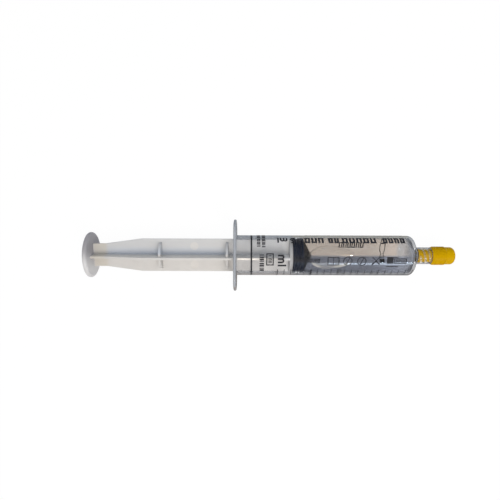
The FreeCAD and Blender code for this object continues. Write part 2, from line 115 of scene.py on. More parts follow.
class Graph:
    """Small helper round one material's node tree."""

    noise_range: Span = (0.3, 0.7)
    even_blend = 0.5
    mix_inputs = (6, 7)
    mix_output = 2
    skin_soft = 0.1
    face_on = 0.04
    graze = 0.12
    graze_power = 5.0
    wave_depth = 0.0002

    def __init__(self, name: str) -> None:
        """Makes an empty material of that name."""
        self.material = bpy.data.materials.new(name)
        self.material.use_nodes = True
        self.tree = self.material.node_tree
        self.tree.nodes.clear()

    def add(self, kind: str, inputs: Optional[dict] = None, **settings: object) -> bpy.types.Node:
        """Adds a node.

        Args:
            kind: node type without its ShaderNode prefix.
            inputs: socket name or index to a number, colour or output socket.
            **settings: the node's own options.

        Returns:
            The new node.
        """
        node = self.tree.nodes.new("ShaderNode" + kind)
        for key, value in settings.items():
            setattr(node, key, value)
        for key, value in (inputs or {}).items():
            if isinstance(value, bpy.types.NodeSocket):
                self.tree.links.new(value, node.inputs[key])
            elif isinstance(value, tuple) and node.inputs[key].type == "RGBA":
                node.inputs[key].default_value = (*value, 1.0)
            else:
                node.inputs[key].default_value = value
        return node

    def place(self) -> Socket:
        """Position in the object's own metres."""
        return self.add("TexCoord").outputs["Object"]

    def along(self, axis: str) -> Socket:
        """The object's own X, Y or Z in metres."""
        return self.add("SeparateXYZ", {0: self.place()}).outputs[axis]

    def noise(self, scale: float, detail: float = 3.0) -> Socket:
        """Noise in the object's own metres, as a value near one half."""
        node = self.add("TexNoise", {"Vector": self.place(), "Scale": scale, "Detail": detail})
        return node.outputs["Fac"]

    def spread(self, source: Socket, low: float, high: float) -> Socket:
        """Maps a noise value to the range from low to high.

        Args:
            source: the noise value.
            low: what its low values become.
            high: what its high values become.

        Returns:
            The mapped value.
        """
        least, most = self.noise_range
        inputs = {"Value": source, "From Min": least, "From Max": most, "To Min": low, "To Max": high}
        return self.add("MapRange", inputs).outputs["Result"]

    def blend(self, factor: Socket, a: Tone, b: Tone) -> Socket:
        """Mixes two colours.

        Args:
            factor: 0 for the first colour, 1 for the second.
            a: the first colour or a colour socket.
            b: the second colour or a colour socket.

        Returns:
            A colour socket.
        """
        node = self.add("Mix", {0: factor}, data_type="RGBA")
        for index, value in zip(self.mix_inputs, (a, b)):
            if isinstance(value, bpy.types.NodeSocket):
                self.tree.links.new(value, node.inputs[index])
            else:
                node.inputs[index].default_value = (*value, 1.0)
        return node.outputs[self.mix_output]

    def mottled(self, patches: Socket, colour: Colour, amount: float) -> Socket:
        """A colour that is lighter and darker in patches, by an amount either way."""
        return self.blend(patches, shade(colour, 1.0 - amount), shade(colour, 1.0 + amount))

    def math(self, operation: str, a: Amount, b: Amount = 0.0, c: Amount = 0.0) -> Socket:
        """One arithmetic step on up to three values or sockets."""
        return self.add("Math", {0: a, 1: b, 2: c}, operation=operation).outputs[0]

    def bump(self, height: Socket, strength: float, depth: float) -> Socket:
        """Normal from a height value, with the depth in metres."""
        node = self.add("Bump", {"Strength": strength, "Distance": depth, "Height": height})
        return node.outputs["Normal"]

    def slant(self, **normal: Socket) -> Socket:
        """0 where the surface is seen face on, 1 edge on; Normal may be given."""
        return self.add("LayerWeight", {"Blend": self.even_blend, **normal}).outputs["Facing"]

    def ramp(self, source: Socket, start: float, end: float) -> Socket:
        """Smooth step of a value.

        Args:
            source: the value.
            start: where the step is 0. It may be the larger.
            end: where the step is 1.

        Returns:
            A value from 0 to 1.
        """
        inputs = {"Value": source, "From Min": min(start, end), "From Max": max(start, end)}
        if start > end:
            inputs.update({"To Min": 1.0, "To Max": 0.0})
        return self.add("MapRange", inputs, interpolation_type="SMOOTHSTEP").outputs["Result"]

    def window(self, source: Socket, low: float, high: float, soft: float) -> Socket:
        """1 where a value lies between two others.

        Args:
            source: the value.
            low: the lower end.
            high: the upper end.
            soft: half the width of each end's change.

        Returns:
            A value from 0 to 1.
        """
        rise = self.ramp(source, low - soft, low + soft)
        fall = self.ramp(source, high + soft, high - soft)
        return self.math("MULTIPLY", rise, fall)

    def across(self, first: float, last: float) -> Socket:
        """0 at the first place along Y in mm, 1 at the last, smooth between."""
        return self.ramp(self.along("Y"), first * MM, last * MM)

    def forward(self, layout: Layout, first: float, last: float) -> Socket:
        """0 at the first station, 1 at the last, smooth between."""
        return self.ramp(self.along("X"), layout.x(first), layout.x(last))

    def stretch(self, layout: Layout, first: float, last: float, soft: float = 0.3) -> Socket:
        """1 between two stations, 0 outside them, with ends that are soft in mm."""
        return self.window(self.along("X"), layout.x(first), layout.x(last), soft * MM)

    def beyond(self, layout: Layout, radius: float) -> Socket:
        """1 outside a radius from the syringe's axis, 0 inside it.

        Args:
            layout: where the syringe lies.
            radius: in mm.

        Returns:
            A value from 0 to 1.
        """
        parts = self.add("SeparateXYZ", {0: self.place()})
        up = self.math("SUBTRACT", parts.outputs["Z"], layout.axis_z * MM)
        squares = self.math("MULTIPLY_ADD", up, up, self.math("POWER", parts.outputs["Y"], 2.0))
        far = self.math("SQRT", squares)
        return self.ramp(far, (radius - self.skin_soft) * MM, (radius + self.skin_soft) * MM)

    def hazed(self, tint: Tone, body: Tone, haze: Amount) -> Socket:
        """See-through shader with some matt haze in it.

        Args:
            tint: colour of the light that passes.
            body: colour of the haze.
            haze: share of the haze.

        Returns:
            The shader.
        """
        clear = self.add("BsdfTransparent", {"Color": tint}).outputs[0]
        matt = self.add("BsdfDiffuse", {"Color": body}).outputs[0]
        return self.add("MixShader", {0: haze, 1: clear, 2: matt}).outputs[0]

    def glossed(
        self, shader: Socket, wave: Socket, amount: Amount, roughness: float, ripple: float
    ) -> Socket:
        """Lays a clear gloss over a shader.

        Args:
            shader: what lies under the gloss.
            wave: height of the surface's slow waviness.
            amount: share of the full reflection.
            roughness: of the gloss.
            ripple: strength of the waviness.

        Returns:
            The glossed shader.
        """
        normal = self.bump(wave, ripple, self.wave_depth)
        edge_on = self.math("POWER", self.slant(Normal=normal), self.graze_power)
        share = self.math("MULTIPLY_ADD", edge_on, self.graze, self.face_on)
        gloss = self.add("BsdfGlossy", {"Roughness": roughness, "Normal": normal}).outputs[0]
        factor = self.math("MULTIPLY", share, amount)
        return self.add("MixShader", {0: factor, 1: shader, 2: gloss}).outputs[0]

    def finish(self, shader: Socket) -> bpy.types.Material:
        """Joins the shader to the output and hands back the material."""
        self.add("OutputMaterial", {"Surface": shader})
        return self.material


@dataclass(frozen=True)
class SolidPlastic:
    """Opaque moulded plastic or rubber with faint mottling and surface grain."""

    name: str
    colour: Colour
    roughness: float
    uneven: float = 0.15
    mottle: float = 0.06
    mottle_scale: float = 180.0
    grain: float = 0.12
    grain_scale: float = 2200.0
    grain_depth: float = 0.00004
    glow: float = 0.0
    specular: float = 0.5

    def colouring(self, graph: Graph, layout: Layout) -> Socket:
        """Colour over the surface.

        Args:
            graph: the material being built.
            layout: where the syringe lies.

        Returns:
            A colour socket.
        """
        patches = graph.noise(self.mottle_scale, detail=4.0)
        return graph.mottled(patches, self.colour, self.mottle)

    def build(self, layout: Layout) -> bpy.types.Material:
        """Makes the material.

        Args:
            layout: where the syringe lies.

        Returns:
            The finished material.
        """
        graph = Graph(self.name)
        colour = self.colouring(graph, layout)
        fine = graph.noise(self.grain_scale)
        smoother = self.roughness * (1.0 - self.uneven)
        rougher = self.roughness * (1.0 + self.uneven)
        shader = graph.add(
            "BsdfPrincipled",
            {
                "Base Color": colour,
                "Roughness": graph.spread(fine, smoother, rougher),
                "Specular IOR Level": self.specular,
                "Normal": graph.bump(fine, self.grain, self.grain_depth),
            },
        ).outputs[0]
        if self.glow:
            through = graph.add("BsdfTranslucent", {"Color": colour}).outputs[0]
            shader = graph.add("MixShader", {0: self.glow, 1: shader, 2: through}).outputs[0]
        return graph.finish(shader)


@dataclass(frozen=True)
class RodPlastic(SolidPlastic):
    """White rod plastic with painted shade: a cooler, darker tone on the far side (+Y) and a bluer
    one near the axis there behind the flange, with pale round marks.

    The thumb disc carries painted shade, darker towards +Y, and the rod is warmer beside it. From
    station 27.6 forward the rod is darkened as painted shade, and from station 23 rising to 27.6 it
    is lightened as painted light. Stations, places along Y and radii are in mm. Each share is how
    much of its tone shows.
    """

    # Painted shade: the far side (+Y) is cooler and darker, and bluer near the axis behind the
    # flange.
    far_painted_shade: Colour = (0.605, 0.61, 0.62)
    far_y: Span = (-0.4, 0.6)
    far_share: float = 0.9
    fold_painted_shade: Colour = (0.555, 0.59, 0.65)
    fold_y: Span = (5.5, 1.2)
    fold_stations: Span = (-2.0, -9.0)
    warm: Colour = (0.60, 0.565, 0.505)
    warm_stations: Span = (-77.0, -69.6)
    warm_soft: float = 1.4
    warm_share: float = 0.7
    # Painted shade on the thumb disc, darker towards +Y.
    disc: Colour = (0.40, 0.39, 0.41)
    disc_near: Colour = (0.66, 0.655, 0.66)
    disc_y: Span = (4.0, -6.0)
    disc_stations: Span = (-76.7, -76.9)
    # Painted light from station 23 to 27.6, then painted shade from station 27.6 on.
    hollow_painted_light: Colour = (0.85, 0.845, 0.84)
    hollow_stations: Span = (23.0, 27.6)
    plate_painted_shade: Colour = (0.54, 0.53, 0.525)
    plate_stations: Span = (27.55, 27.65)
    pale: Colour = (0.71, 0.69, 0.66)
    mark_share: float = 0.5
    mark_station: float = -22.85
    mark_side: float = 5.0
    mark_r: float = 2.2
    mark_soft: float = 0.1
    turn: float = 14.0

    def colouring(self, graph: Graph, layout: Layout) -> Socket:
        """Mottled white with painted shade on the far side and the disc, the warm stretch, painted
        light and shade at the head end, and the marks.

        Args:
            graph: the material being built.
            layout: where the syringe lies.

        Returns:
            A colour socket.
        """
        colour = super().colouring(graph, layout)
        # Painted shade on the far side and near the axis there.
        behind = graph.forward(layout, *self.fold_stations)
        painted_fold_shade = graph.math("MULTIPLY", graph.across(*self.fold_y), behind)
        painted_shade_tint = graph.blend(painted_fold_shade, self.far_painted_shade, self.fold_painted_shade)
        far = graph.math("MULTIPLY", graph.across(*self.far_y), self.far_share)
        colour = graph.blend(far, colour, painted_shade_tint)
        beside = graph.stretch(layout, *self.warm_stations, self.warm_soft)
        colour = graph.blend(graph.math("MULTIPLY", beside, self.warm_share), colour, self.warm)
        # Painted shade on the thumb disc.
        painted_grey_shade = graph.blend(graph.across(*self.disc_y), self.disc, self.disc_near)
        colour = graph.blend(graph.forward(layout, *self.disc_stations), colour, painted_grey_shade)
        # Painted light behind the head end, painted shade on it.
        colour = graph.blend(graph.forward(layout, *self.hollow_stations), colour, self.hollow_painted_light)
        colour = graph.blend(graph.forward(layout, *self.plate_stations), colour, self.plate_painted_shade)
        return self.marked(graph, layout, colour)

    def marked(self, graph: Graph, layout: Layout, colour: Socket) -> Socket:
        """Adds the two pale round marks.

        Args:
            graph: the material being built.
            layout: where the syringe lies.
            colour: the rod's colour without them.

        Returns:
            The colour with the marks.
        """
        place = graph.place()
        turn = math.radians(self.turn)
        edge = (self.mark_r + self.mark_soft) * MM
        inside = (self.mark_r - self.mark_soft) * MM
        for side in (-self.mark_side, self.mark_side):
            mid = layout.point(self.mark_station, side * math.cos(turn), side * math.sin(turn))
            away = graph.add("VectorMath", {0: place, 1: tuple(mid)}, operation="DISTANCE")
            spot = graph.ramp(away.outputs["Value"], edge, inside)
            colour = graph.blend(graph.math("MULTIPLY", spot, self.mark_share), colour, self.pale)
        return colour


@dataclass(frozen=True)
class ClearPlastic:
    """Clear moulding: see-through face on, hazier at a slant and where it is thick.

    The slanted haze has a colour for each side of the axis, near being towards -Y, and
    others where the wall is wet inside. On the barrel these are painted shade on the near
    side and painted light on the far side, the most so where it is wet. Each thick stretch
    is (first station, last station, haze) in mm. Inside the skin radius the gloss is faint
    and the slanted haze is less, by the lining's share.
    """

    name: str
    colour: Colour
    rim_far: Colour
    rim_near: Colour
    tint: Colour
    haze: float
    rim: float
    rim_slant: Span = (0.45, 0.66)
    cloud_scale: float = 140.0
    mottle: float = 0.06
    haze_uneven: float = 0.2
    gloss: float = 0.2
    skin_gloss: float = 0.1
    roughness: float = 0.18
    ripple: float = 0.1
    skin_r: float = 0.0
    lining: float = 0.7
    wet_lining: float = 0.2
    wet: Span = (0.0, 0.0)
    wet_soft: float = 1.2
    # Painted light on the far side and painted shade on the near side, where the wall is wet.
    wet_far_painted_light: Colour = (0.37, 0.355, 0.32)
    wet_near_painted_shade: Colour = (0.165, 0.168, 0.176)
    near_y: Span = (1.0, -1.0)
    thick: Tuple[Tuple[float, float, float], ...] = ()

    def build(self, layout: Layout) -> bpy.types.Material:
        """Makes the material.

        Args:
            layout: where the syringe lies.

        Returns:
            The finished material.
        """
        graph = Graph(self.name)
        cloud = graph.noise(self.cloud_scale, detail=4.0)
        outside = graph.beyond(layout, self.skin_r)
        wet = graph.stretch(layout, *self.wet, self.wet_soft)
        inside = graph.math("MULTIPLY_ADD", wet, self.wet_lining - self.lining, self.lining)
        lining = graph.math("MAXIMUM", outside, inside)
        rim = graph.math("MULTIPLY", graph.ramp(graph.slant(), *self.rim_slant), lining)
        least = self.haze * (1.0 - self.haze_uneven)
        most = self.haze * (1.0 + self.haze_uneven)
        haze = graph.math("MULTIPLY_ADD", rim, self.rim, graph.spread(cloud, least, most))
        for first, last, amount in self.thick:
            part = graph.stretch(layout, first, last)
            haze = graph.math("MAXIMUM", haze, graph.math("MULTIPLY", part, amount))
        # Painted shade towards -Y and painted light towards +Y in the slanted haze's colour, most
        # where wet.
        near = graph.across(*self.near_y)
        dry = graph.blend(near, self.rim_far, self.rim_near)
        wet_painted_light_and_shade = graph.blend(near, self.wet_far_painted_light, self.wet_near_painted_shade)
        body = graph.mottled(cloud, self.colour, self.mottle)
        body = graph.blend(rim, body, graph.blend(wet, dry, wet_painted_light_and_shade))
        skin = graph.math("MULTIPLY_ADD", outside, 1.0 - self.skin_gloss, self.skin_gloss)
        gloss = graph.math("MULTIPLY", skin, self.gloss)
        mixed = graph.hazed(self.tint, body, haze)
        return graph.finish(graph.glossed(mixed, cloud, gloss, self.roughness, self.ripple))


@dataclass(frozen=True)
class Liquid:
    """Watery fill with a tint of painted light and shade: warm on the +Y side of the axis, a painted
    shade on the -Y side, and greyer at the tip.

    The tint changes over at the turn, a place along Y in mm, with a slow wave. It is
    lightened as painted light over one pair of stations and turns greyer over another.
    """

    name: str
    # Painted light (warm, +Y side) and painted shade (-Y side and the tip) make up the tint.
    warm: Colour
    painted_shade_tint: Colour
    painted_grey_shade: Colour
    near_painted_grey_shade: Colour
    haze: float
    cloud_scale: float = 90.0
    wave: float = 0.3
    turn_y: float = -0.35
    turn_width: float = 0.9
    paler_stations: Span = (68.0, 86.0)
    paler_cool: float = 1.3
    paler_warm: float = 1.12
    grey_stations: Span = (87.5, 90.5)
    gloss: float = 0.12
    roughness: float = 0.06
    ripple: float = 0.05

    def build(self, layout: Layout) -> bpy.types.Material:
        """Makes the material.

        Args:
            layout: where the syringe lies.

        Returns:
            The finished material.
        """
        graph = Graph(self.name)
        cloud = graph.noise(self.cloud_scale)
        wave = graph.spread(cloud, -self.wave * MM, self.wave * MM)
        low = (self.turn_y - self.turn_width) * MM
        high = (self.turn_y + self.turn_width) * MM
        side = graph.ramp(graph.math("ADD", graph.along("Y"), wave), low, high)
        # Painted light: the tint lightens over these stations.
        painted_light_streak = graph.forward(layout, *self.paler_stations)
        painted_shade_tint = graph.blend(painted_light_streak, self.painted_shade_tint, shade(self.painted_shade_tint, self.paler_cool))
        warm = graph.blend(painted_light_streak, self.warm, shade(self.warm, self.paler_warm))
        front = graph.forward(layout, *self.grey_stations)
        painted_grey_shade = graph.blend(side, self.near_painted_grey_shade, self.painted_grey_shade)
        tint = graph.blend(front, graph.blend(side, painted_shade_tint, warm), painted_grey_shade)
        mixed = graph.hazed(tint, tint, self.haze)
        return graph.finish(graph.glossed(mixed, cloud, self.gloss, self.roughness, self.ripple))


@dataclass(frozen=True)
class AirBubble:
    """Bubble seen by its pale sloping border, thin dark outline and a painted light on its near edge.

    The border and the outline are ranges of slant. On its near edge, where its surface
    leans sideways and lies far enough towards -Y, in mm, its see-through tint is above
    one, a painted light that passes more light than reaches it.
    """

    name: str
    pale: Colour
    dark: Colour
    pale_haze: float
    dark_haze: float
    border: Span = (0.01, 0.12)
    outline: Span = (0.45, 0.75)
    cloud_scale: float = 400.0
    mottle: float = 0.05
    # Painted light: a see-through tint above one on the near edge.
    painted_light_tint: Colour = (1.85, 1.76, 1.55)
    bright_lean: Span = (0.3, 0.95)
    bright_soft: float = 0.1
    bright_y: Span = (-3.1, -4.4)
    gloss: float = 0.6
    roughness: float = 0.08
    ripple: float = 0.0

    def build(self, layout: Layout) -> bpy.types.Material:
        """Makes the material.

        Args:
            layout: where the syringe lies.

        Returns:
            The finished material.
        """
        graph = Graph(self.name)
        cloud = graph.noise(self.cloud_scale, detail=2.0)
        slant = graph.slant()
        border = graph.math("MULTIPLY", graph.ramp(slant, *self.border), self.pale_haze)
        outline = graph.ramp(slant, *self.outline)
        haze = graph.math("MULTIPLY_ADD", outline, self.dark_haze, border)
        colour = graph.blend(outline, self.pale, self.dark)
        colour = graph.blend(cloud, shade(self.pale, 1.0 - self.mottle), colour)
        # Mask of the painted light on the near edge.
        facing = graph.add("NewGeometry").outputs["Normal"]
        sideways = graph.math("ABSOLUTE", graph.add("SeparateXYZ", {0: facing}).outputs["Y"])
        leaning = graph.window(sideways, *self.bright_lean, self.bright_soft)
        painted_light_mask = graph.math("MULTIPLY", leaning, graph.across(*self.bright_y))
        mixed = graph.hazed(graph.blend(painted_light_mask, WHITE, self.painted_light_tint), colour, haze)
        return graph.finish(graph.glossed(mixed, cloud, self.gloss, self.roughness, self.ripple))


@dataclass(frozen=True)
class Ink:
    """Printed ink with a slightly uneven cover."""

    name: str
    colour: Colour
    speck_scale: float = 2600.0
    lighter: float = 2.0
    roughness: Span = (0.35, 0.5)
    specular: float = 0.03
    cover: Span = (0.9, 1.0)

    def build(self, layout: Layout) -> bpy.types.Material:
        """Makes the material.

        Args:
            layout: where the syringe lies.

        Returns:
            The finished material.
        """
        graph = Graph(self.name)
        speck = graph.noise(self.speck_scale, detail=4.0)
        surface = graph.add(
            "BsdfPrincipled",
            {
                "Base Color": graph.blend(speck, self.colour, shade(self.colour, self.lighter)),
                "Roughness": graph.spread(speck, *self.roughness),
                "Specular IOR Level": self.specular,
            },
        ).outputs[0]
        clear = graph.add("BsdfTransparent").outputs[0]
        cover = graph.spread(speck, *self.cover)
        return graph.finish(graph.add("MixShader", {0: cover, 1: clear, 2: surface}).outputs[0])


class Finish(Enum):
    """Every finish on the syringe."""

    BARREL = ClearPlastic(
        "clear_barrel",
        colour=(0.29, 0.305, 0.335),
        # The rim is darker towards -Y as painted shade.
        rim_far=(0.35, 0.36, 0.38),
        rim_near=(0.24, 0.228, 0.225),
        tint=(0.97, 0.973, 0.98),
        haze=0.01,
        rim=0.85,
        skin_r=10.1,
        wet=(29.0, 90.6),
        thick=((-1.8, -0.25, 0.88), (93.0, 95.6, 0.15)),
    )
    # The thread's pale slanted haze is partly the moulding's haze and partly painted light for the
    # lighter stripes along the ridges.
    THREAD = ClearPlastic(
        "clear_thread",
        colour=(0.60, 0.56, 0.45),
        rim_far=(0.72, 0.68, 0.58),
        rim_near=(0.72, 0.68, 0.58),
        tint=(0.96, 0.96, 0.96),
        haze=0.10,
        rim=0.6,
        rim_slant=(0.2, 0.7),
    )
    ROD = RodPlastic(
        "white_rod",
        colour=(0.65, 0.637, 0.624),
        roughness=0.45,
        glow=0.45,
        specular=0.3,
    )
    STOPPER = SolidPlastic(
        "dark_rubber",
        colour=(0.0045, 0.0065, 0.015),
        roughness=0.38,
        mottle=0.2,
        grain=0.3,
        specular=0.06,
    )
    CAP = SolidPlastic(
        "yellow_cap",
        colour=(0.418, 0.245, 0.0004),
        roughness=0.4,
        grain=0.06,
        specular=0.02,
    )
    FILL = Liquid(
        "clear_liquid",
        # Tints of painted light and painted shade.
        warm=(0.70, 0.65, 0.60),
        painted_shade_tint=(0.39, 0.40, 0.435),
        painted_grey_shade=(0.64, 0.645, 0.66),
        near_painted_grey_shade=(0.55, 0.56, 0.59),
        haze=0.012,
    )
    BUBBLE = AirBubble(
        "air_bubble",
        pale=(0.60, 0.54, 0.48),
        dark=(0.10, 0.105, 0.125),
        pale_haze=0.08,
        dark_haze=0.5,
    )
    INK = Ink("black_ink", colour=(0.016, 0.016, 0.019))


@dataclass
class Dresser:
    """Makes each finish once and puts it on pieces and nodes."""

    layout: Layout

    def material(self, finish: Finish) -> bpy.types.Material:
        """The finish's material, made at its first use."""
        found = bpy.data.materials.get(finish.value.name)
        return found or finish.value.build(self.layout)

    def piece(
        self, name: str, mesh: bpy.types.Mesh, finish: Finish, smooth: float = 35.0
    ) -> bpy.types.Object:
        """Puts a mesh in the scene, dressed and shaded smooth up to an angle.

        Args:
            name: the piece's name.
            mesh: the finished mesh, in metres.
            finish: what it is dressed in.
            smooth: edges sharper than this many degrees stay crisp.

        Returns:
            The new object.
        """
        mesh.materials.append(self.material(finish))
        for face in mesh.polygons:
            face.use_smooth = True
        mesh.set_sharp_from_angle(angle=math.radians(smooth))
        obj = bpy.data.objects.new(name, mesh)
        bpy.context.scene.collection.objects.link(obj)
        LOG.info("built %s", name)
        return obj

    def node(self, name: str, finish: Finish) -> bpy.types.Object:
        """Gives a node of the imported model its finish.

        Args:
            name: the node's name.
            finish: what it is dressed in.

        Returns:
            The node's object.
        """
        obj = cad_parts[name]
        for slot in obj.material_slots:
            slot.link = "OBJECT"
            slot.material = self.material(finish)
        LOG.info("dressed %s", name)
        return obj


def closed(work: bmesh.types.BMesh, name: str) -> bpy.types.Mesh:
    """Makes a mesh of finished mesh work, with its faces turned outward.

    Args:
        work: the closed surface. It is freed.
        name: the mesh's name.

    Returns:
        The mesh.
    """
    bmesh.ops.recalc_face_normals(work, faces=work.faces)
    mesh = bpy.data.meshes.new(name)
    work.to_mesh(mesh)
    work.free()
    return mesh


def lathe(name: str, layout: Layout, profile: Profile, segments: int = 128) -> bpy.types.Mesh:
    """Turns a profile about the syringe's axis.

    Args:
        name: the mesh's name.
        layout: where the axis lies.
        profile: (station, radius) pairs in mm. Both ends lie on the axis.
        segments: faces round the axis.

    Returns:
        A closed mesh.
    """
    work = bmesh.new()
    rings: List[List[bmesh.types.BMVert]] = []
    for station, radius in profile:
        count = segments if radius else 1
        turns = [math.tau * i / segments for i in range(count)]
        rings.append([work.verts.new(layout.around(station, radius, turn)) for turn in turns])
    for a, b in zip(rings, rings[1:]):
        for i in range(segments):
            j = (i + 1) % segments
            corners = [a[i % len(a)], b[i % len(b)], b[j % len(b)], a[j % len(a)]]
            work.faces.new(list(dict.fromkeys(corners)))
    return closed(work, name)


@dataclass
class Barrel:
    """Clear barrel with its flange and lock collar, and the thread inside the collar."""

    layout: Layout
    dresser: Dresser
    collar_start: float = 96.5
    collar_end: float = 103.3
    thread_outer_r: float = 4.0
    thread_crest_r: float = 3.7
    thread_base_w: float = 1.1
    thread_crest_w: float = 0.5
    thread_lead: float = 5.0
    thread_starts: int = 2
    thread_steps: int = 72

    def build(self) -> None:
        """Dresses the moulding and adds the thread."""
        self.dresser.node("barrel", Finish.BARREL)
        thread = self.dresser.piece("collar_thread", self.thread_mesh(), Finish.THREAD)
        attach(thread, Body.BARREL.value)

    def thread_mesh(self) -> bpy.types.Mesh:
        """Raised helical ridges on the collar's bore.

        Returns:
            A closed mesh for each ridge, in one.
        """
        work = bmesh.new()
        length = self.collar_end - self.collar_start - self.thread_base_w
        section = (
            (self.thread_outer_r, -self.thread_base_w / 2.0),
            (self.thread_crest_r, -self.thread_crest_w / 2.0),
            (self.thread_crest_r, self.thread_crest_w / 2.0),
            (self.thread_outer_r, self.thread_base_w / 2.0),
        )
        sides = len(section)
        for start in range(self.thread_starts):
            rings = []
            for i in range(self.thread_steps + 1):
                run = i / self.thread_steps * length
                mid = self.collar_start + self.thread_base_w / 2.0 + run
                turn = math.tau * (run / self.thread_lead + start / self.thread_starts)
                points = [self.layout.around(mid + half, radius, turn) for radius, half in section]
                rings.append([work.verts.new(point) for point in points])
            for a, b in zip(rings, rings[1:]):
                for k in range(sides):
                    after = (k + 1) % sides
                    work.faces.new([a[k], b[k], b[after], a[after]])
            work.faces.new(rings[0])
            work.faces.new(list(reversed(rings[-1])))
        return closed(work, "collar_thread")


@dataclass
class Plunger:
    """Ribbed rod with its thumb disc, and the rubber stopper on its head."""

    dresser: Dresser
    edge_round: float = 0.16
    edge_steps: int = 2
    edge_angle: float = 50.0

    def build(self) -> None:
        """Dresses both pieces and softens the rod's moulded edges."""
        rod = self.dresser.node("plunger_rod", Finish.ROD)
        soften = rod.modifiers.new("moulded_edges", "BEVEL")
        soften.width = self.edge_round * MM
        soften.segments = self.edge_steps
        soften.limit_method = "ANGLE"
        soften.angle_limit = math.radians(self.edge_angle)
        self.dresser.node("plunger_stopper", Finish.STOPPER)


@dataclass
class TipCap:
    """Yellow cap on the lock tip."""

    dresser: Dresser

    def build(self) -> None:
        """Dresses the cap."""
        self.dresser.node("tip_cap", Finish.CAP)


@dataclass
class Fill:
    """Liquid between the stopper and the tip, with its air bubble.
    """

    layout: Layout
    dresser: Dresser
    bore_r: float = 9.505
    stopper_front: float = 34.95
    stopper_cone_r: float = 9.24
    cone_angle: float = 62.0
    cone_shares: Tuple[float, ...] = (0.12, 0.35, 0.68, 1.0)
    cone_reach: float = 5.3
    bore_end: float = 91.33
    end_inset: float = 0.05
    channel_r: float = 0.88
    tip: float = 105.58
    gap: float = 0.06
    bubble_mid: float = 46.4
    bubble_back: float = 9.1
    bubble_ahead: float = 15.0
    bubble_half_w: float = 6.05
    bubble_y: float = -0.9
    bubble_level: float = 6.1
    bubble_top_r: float = 9.46
    bubble_flatness: int = 8
    bubble_rings: int = 14
    bubble_segments: int = 96
    bubble_smooth: float = 180.0
    bubble_inset: float = 0.6
    squashed: float = 0.04

    def build(self) -> None:
        """Builds the liquid and the bubble in place of the model's fill, and puts the bubble on the
        barrel.
        """
        liquid = self.dresser.piece("liquid", self.liquid_mesh(), Finish.FILL)
        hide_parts("fill")
        start = self.layout.point(self.stopper_front + self.cone_reach, 0.0, 0.0)
        end = self.layout.point(self.bore_end - self.end_inset, 0.0, 0.0)
        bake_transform(liquid)
        bubble = self.dresser.piece(
            "air_bubble", self.bubble_mesh(), Finish.BUBBLE, self.bubble_smooth
        )
        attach(bubble, Body.BARREL.value)
        anchor = self.layout.point(self.bore_end - self.bubble_inset, 0.0, 0.0)
        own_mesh(bubble)

    def liquid_mesh(self) -> bpy.types.Mesh:
        """Liquid with rings of points only at its two ends.

        Returns:
            A closed mesh.
        """
        slope = math.tan(math.radians(self.cone_angle))
        apex = self.stopper_front + self.gap + self.stopper_cone_r / slope
        cone_end = self.bore_end + (self.bore_r - self.channel_r) / slope
        profile = [(apex, 0.0)]
        for share in self.cone_shares:
            radius = self.stopper_cone_r * share
            profile.append((apex - radius / slope, radius))
        profile.append((self.stopper_front + self.gap, self.bore_r))
        profile.append((self.bore_end, self.bore_r))
        profile.append((cone_end, self.channel_r))
        profile.append((self.tip, self.channel_r))
        profile.append((self.tip, 0.0))
        return lathe("liquid", self.layout, profile)

    def bubble_mesh(self) -> bpy.types.Mesh:
        """Long flat bubble under the top wall, closed by the wall's own curve.

        Returns:
            A closed mesh.
        """
        work = bmesh.new()
        rim = [work.verts.new(point) for point in self.bubble_ring(1.0, top=True)]
        for top in (True, False):
            middle = work.verts.new(self.bubble_point(0.0, 0.0, top))
            inner = None
            for k in range(1, self.bubble_rings + 1):
                share = math.sin(math.pi / 2.0 * k / self.bubble_rings)
                ring = rim
                if k < self.bubble_rings:
                    ring = [work.verts.new(point) for point in self.bubble_ring(share, top)]
                for i in range(self.bubble_segments):
                    j = (i + 1) % self.bubble_segments
                    ends = [middle] if inner is None else [inner[j], inner[i]]
                    work.faces.new([ring[i], ring[j], *ends])
                inner = ring
        return closed(work, "air_bubble")

    def bubble_ring(self, share: float, top: bool) -> List[Vector]:
        """Points round the bubble at a share of its width, on the wall or liquid side."""
        turns = [math.tau * i / self.bubble_segments for i in range(self.bubble_segments)]
        return [self.bubble_point(share, turn, top) for turn in turns]

    def bubble_point(self, share: float, turn: float, top: bool) -> Vector:
        """Point of the bubble.

        Args:
            share: 0 in the middle, 1 at the rim.
            turn: angle round the bubble seen from above.
            top: True on the wall side, False on the liquid side.

        Returns:
            The point in the frame, in metres.
        """
        along = math.cos(turn)
        reach = self.bubble_ahead if along > 0.0 else self.bubble_back
        y = self.bubble_y + math.sin(turn) * self.bubble_half_w * share
        up = math.sqrt(self.bubble_top_r ** 2 - y ** 2)
        if not top:
            lift = share ** self.bubble_flatness
            up = up * lift + self.bubble_level * (1.0 - lift)
        return self.layout.point(self.bubble_mid + along * reach * share, y, up)


@dataclass
class Print:
    """Printed ring, scale, numerals and plain marks on the barrel."""

    dresser: Dresser
    nodes: Tuple[str, ...] = ("ink_ring", "ink_scale", "ink_numerals", "ink_label")

    def build(self) -> None:
        """Dresses each group of marks in ink."""
        for node in self.nodes:
            self.dresser.node(node, Finish.INK)


